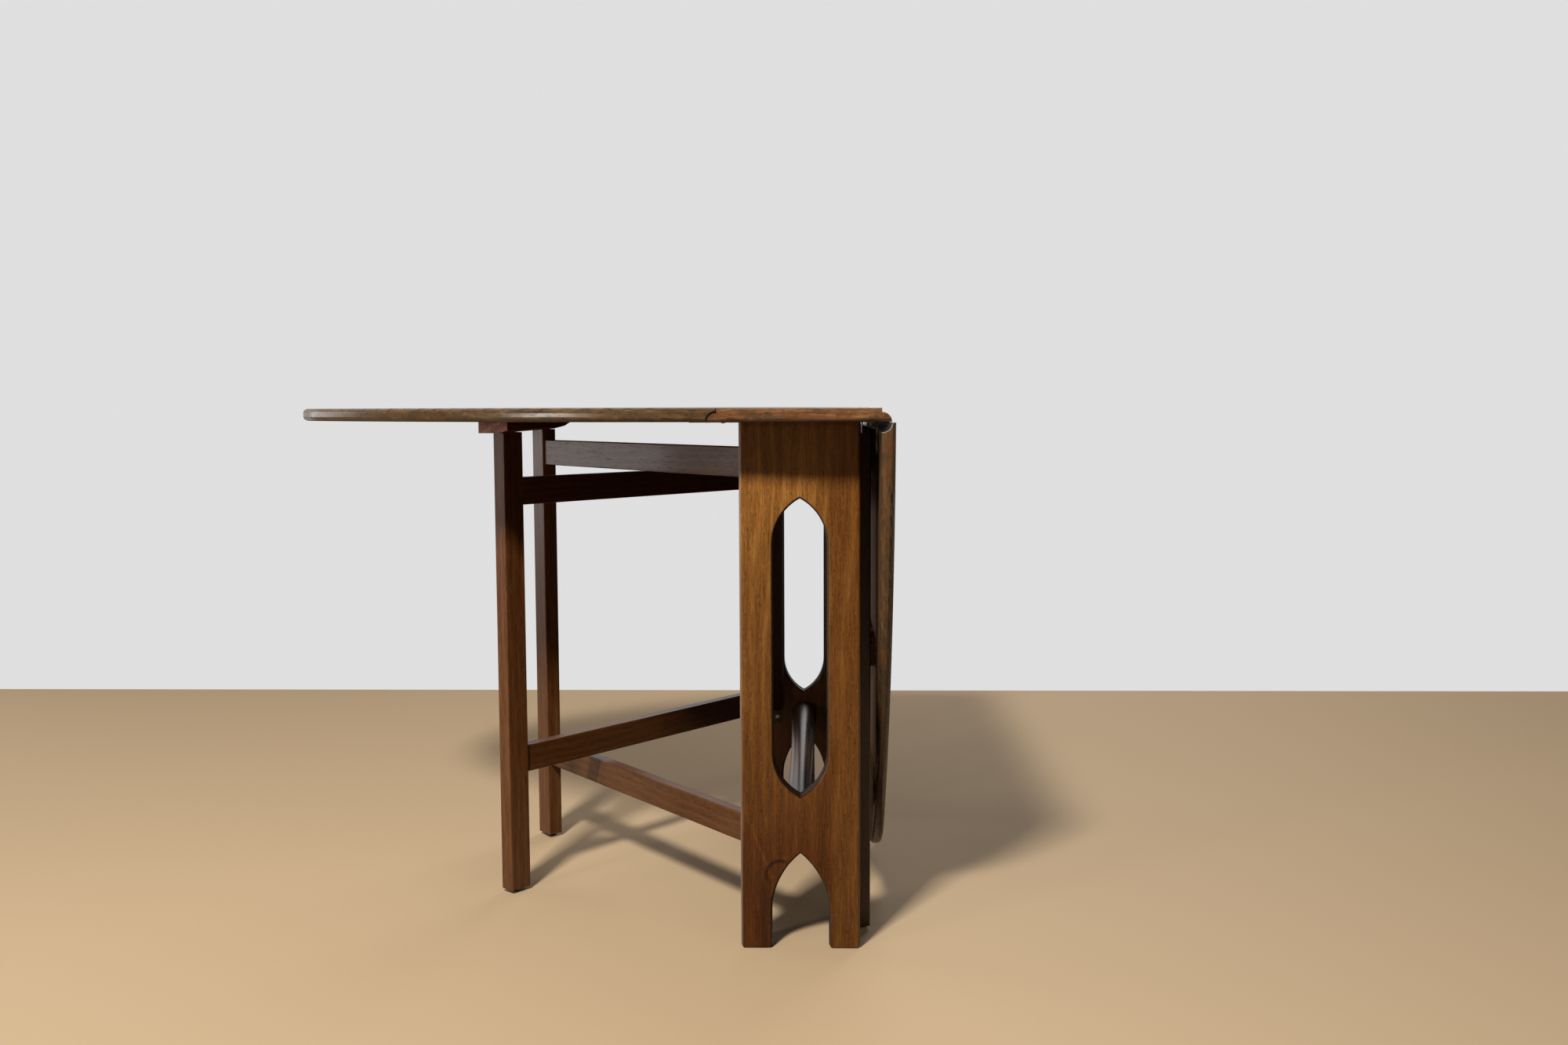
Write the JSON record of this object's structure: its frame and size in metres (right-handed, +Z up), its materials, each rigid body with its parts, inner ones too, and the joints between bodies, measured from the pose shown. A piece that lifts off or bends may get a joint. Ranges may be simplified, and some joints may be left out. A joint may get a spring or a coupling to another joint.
{
  "type": "extending dining table",
  "caption": "Drop-leaf dining table with pierced end panels, a turned stretcher and crossed swinging gates that carry hinged half-oval leaves.",
  "frame": {"origin": "on the floor, at the centre of the fixed frame between the two end panels", "axes": "+Z up; +Y from the front end panel to the back one, along the rule joints; +X towards the hanging leaf, so the raised leaf reaches to -X and the open oval's long axis is X"},
  "size_m": [0.8982, 0.8698, 0.73],
  "materials": {
    "top_wood": "satin lacquer",
    "panel_wood": "satin lacquer, upright grain",
    "turned_wood": "satin, dark stain",
    "rail_wood": "satin",
    "gate_wood": "satin, dark reddish brown",
    "hinge_brass": "dull",
    "pivot_steel": "plain",
    "glide_plastic": "matt"
  },
  "bodies": {
    "frame": {"centre_board": "top_wood", "panel_front": "panel_wood", "panel_back": "panel_wood", "stretcher": "turned_wood", "apron_left": "rail_wood", "apron_right": "rail_wood", "bearer_front": "rail_wood", "bearer_back": "rail_wood", "upper_pivot_pins": "pivot_steel", "lower_pivot_brackets": "pivot_steel", "panel_glides": "glide_plastic", "hinge_short_flaps_left": "hinge_brass", "hinge_short_flaps_right": "hinge_brass", "hinge_pins_left": "hinge_brass", "hinge_pins_right": "hinge_brass"},
    "leaf_left": {"leaf_left": "top_wood", "batten_left": "rail_wood", "hinge_long_flaps_left": "hinge_brass"},
    "leaf_right": {"leaf_right": "top_wood", "batten_right": "rail_wood", "hinge_long_flaps_right": "hinge_brass"},
    "gate_left_front": {"gate_left_front_post": "gate_wood", "gate_left_front_leg": "gate_wood", "gate_left_front_upper_rail": "gate_wood", "gate_left_front_lower_rail": "gate_wood", "gate_left_front_glide": "glide_plastic"},
    "gate_left_back": {"gate_left_back_post": "gate_wood", "gate_left_back_leg": "gate_wood", "gate_left_back_upper_rail": "gate_wood", "gate_left_back_lower_rail": "gate_wood", "gate_left_back_glide": "glide_plastic"},
    "gate_right_front": {"gate_right_front_post": "gate_wood", "gate_right_front_leg": "gate_wood", "gate_right_front_upper_rail": "gate_wood", "gate_right_front_lower_rail": "gate_wood", "gate_right_front_glide": "glide_plastic"},
    "gate_right_back": {"gate_right_back_post": "gate_wood", "gate_right_back_leg": "gate_wood", "gate_right_back_upper_rail": "gate_wood", "gate_right_back_lower_rail": "gate_wood", "gate_right_back_glide": "glide_plastic"}
  },
  "joints": [
    {"name": "left_front_gate_swing", "type": "hinge", "parent": "frame", "child": "gate_left_front", "pos_m": [-0.058, 0.311, 0.4], "axis": [0, 0, 1], "range_deg": [0, 37.5]},
    {"name": "left_back_gate_swing", "type": "hinge", "parent": "frame", "child": "gate_left_back", "pos_m": [-0.058, -0.311, 0.4], "axis": [0, 0, -1], "range_deg": [0, 37.5]},
    {"name": "right_back_gate_swing", "type": "hinge", "parent": "frame", "child": "gate_right_back", "pos_m": [0.058, -0.311, 0.4], "axis": [0, 0, -1], "range_deg": [0, 0.4]},
    {"name": "right_front_gate_swing", "type": "hinge", "parent": "frame", "child": "gate_right_front", "pos_m": [0.058, 0.311, 0.4], "axis": [0, 0, 1], "range_deg": [0, 0.4]},
    {"name": "left_leaf_hinge", "type": "hinge", "parent": "frame", "child": "leaf_left", "pos_m": [-0.105, 0, 0.712], "axis": [0, 1, 0], "range_deg": [0, 2.5]},
    {"name": "right_leaf_hinge", "type": "hinge", "parent": "frame", "child": "leaf_right", "pos_m": [0.105, 0, 0.712], "axis": [0, -1, 0], "range_deg": [0, 90]}
  ],
  "couplings": [
    {"joint": "left_back_gate_swing", "follows": "left_front_gate_swing", "ratio": 1},
    {"joint": "right_front_gate_swing", "follows": "right_back_gate_swing", "ratio": 1}
  ]
}
